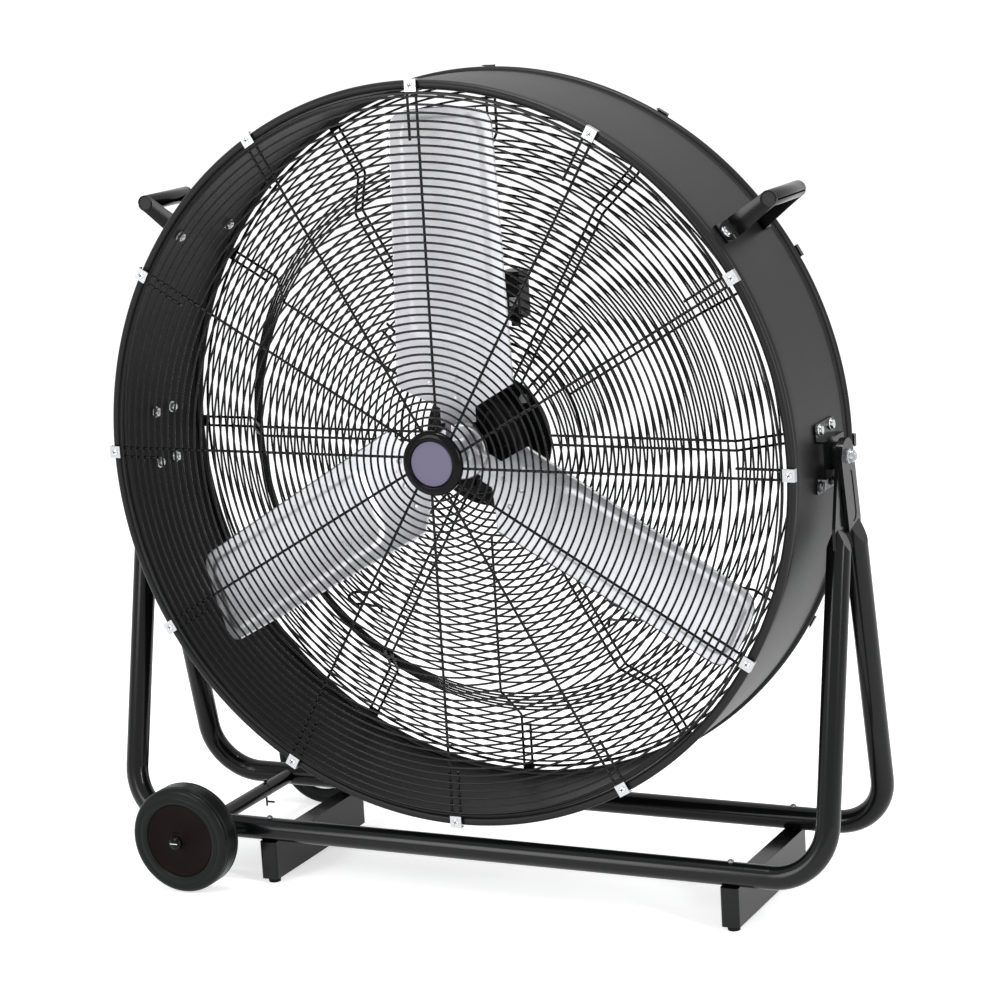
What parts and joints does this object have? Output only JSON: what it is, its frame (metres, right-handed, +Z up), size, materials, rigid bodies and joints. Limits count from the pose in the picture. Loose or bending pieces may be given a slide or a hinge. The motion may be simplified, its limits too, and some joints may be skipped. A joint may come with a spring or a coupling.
{
  "type": "drum fan",
  "caption": "Large open drum fan with wire grilles, a three-blade rotor and carrying handles, tilting on a low tubular stand with an axle and two wheels.",
  "frame": {"origin": "on the floor, below the middle of the whole; the pivot axis is 24 mm nearer the front", "axes": "+Z up, -Y towards the front grille, +X to the right seen from the front, with the wheels at -X"},
  "size_m": [1.1874, 0.526, 1.2227],
  "materials": {
    "black_paint": "gloss",
    "black_wire": "satin",
    "zinc": "satin",
    "blade_metal": "satin",
    "black_plastic": "matte",
    "badge_metal": "satin",
    "motor_cast": "satin",
    "steel": "satin",
    "tyre_rubber": "matte",
    "wheel_plastic": "satin",
    "rubber": "matte",
    "switch_grey": "matte"
  },
  "bodies": {
    "stand": {"front_hoop": "black_paint", "rear_hoop": "black_paint", "channel_left": "black_paint", "channel_right": "black_paint", "rubber_feet": "rubber", "channel_bolts": "zinc", "channel_nuts": "zinc", "pivot_bolts": "zinc", "pivot_spacers": "black_plastic", "pivot_washers": "zinc", "pivot_nuts": "zinc", "axle": "steel", "axle_sleeves": "black_paint", "axle_pin": "black_wire", "wheel_spacers": "black_plastic", "axle_caps": "black_plastic"},
    "drum": {"badge_face": "badge_metal", "badge_holder": "black_plastic", "cable_gland": "black_plastic", "clip_screws": "zinc", "cord_hooks": "black_wire", "drum_bolts": "zinc", "drum_nuts": "zinc", "drum_shell": "black_paint", "front_clips": "zinc", "front_grille_rings": "black_wire", "front_grille_spokes": "black_wire", "handle_left": "black_paint", "handle_right": "black_paint", "motor_bearings": "steel", "motor_front_bell": "motor_cast", "motor_housing": "motor_cast", "motor_plate": "black_paint", "motor_plate_bolts": "zinc", "motor_plate_nuts": "zinc", "motor_rear_bell": "motor_cast", "motor_screws": "zinc", "motor_stator": "steel", "pivot_bracket_left": "black_paint", "pivot_bracket_right": "black_paint", "rear_clips": "black_paint", "rear_grille_rings": "black_wire", "rear_grille_spokes": "black_wire", "switch_box": "black_plastic", "switch_clamp": "black_paint", "switch_cover": "switch_grey", "switch_screws": "zinc"},
    "rotor": {"motor_shaft": "steel", "motor_rotor": "steel", "hub": "blade_metal", "hub_set_screw": "steel", "blade_1": "blade_metal", "blade_2": "blade_metal", "blade_3": "blade_metal", "blade_rivets": "zinc"},
    "knob": {"speed_knob": "switch_grey"},
    "wheel_front": {"wheel_disc_front": "wheel_plastic", "tyre_front": "tyre_rubber"},
    "wheel_rear": {"wheel_disc_rear": "wheel_plastic", "tyre_rear": "tyre_rubber"}
  },
  "joints": [
    {"name": "drum_tilt", "type": "hinge", "parent": "stand", "child": "drum", "pos_m": [0, -0.024, 0.671], "axis": [1, 0, 0], "range_deg": [-90, 90]},
    {"name": "blade_spin", "type": "hinge", "parent": "drum", "child": "rotor", "pos_m": [0, -0.024, 0.671], "axis": [0, 1, 0], "continuous": true},
    {"name": "speed_switch", "type": "hinge", "parent": "drum", "child": "knob", "pos_m": [0.044, 0.066, 0.899], "axis": [0, 1, 0], "range_deg": [0, 270]},
    {"name": "wheel_front_roll", "type": "hinge", "parent": "stand", "child": "wheel_front", "pos_m": [-0.436, -0.224, 0.0845], "axis": [0, 1, 0], "continuous": true},
    {"name": "wheel_rear_roll", "type": "hinge", "parent": "stand", "child": "wheel_rear", "pos_m": [-0.436, 0.224, 0.0845], "axis": [0, 1, 0], "continuous": true}
  ]
}
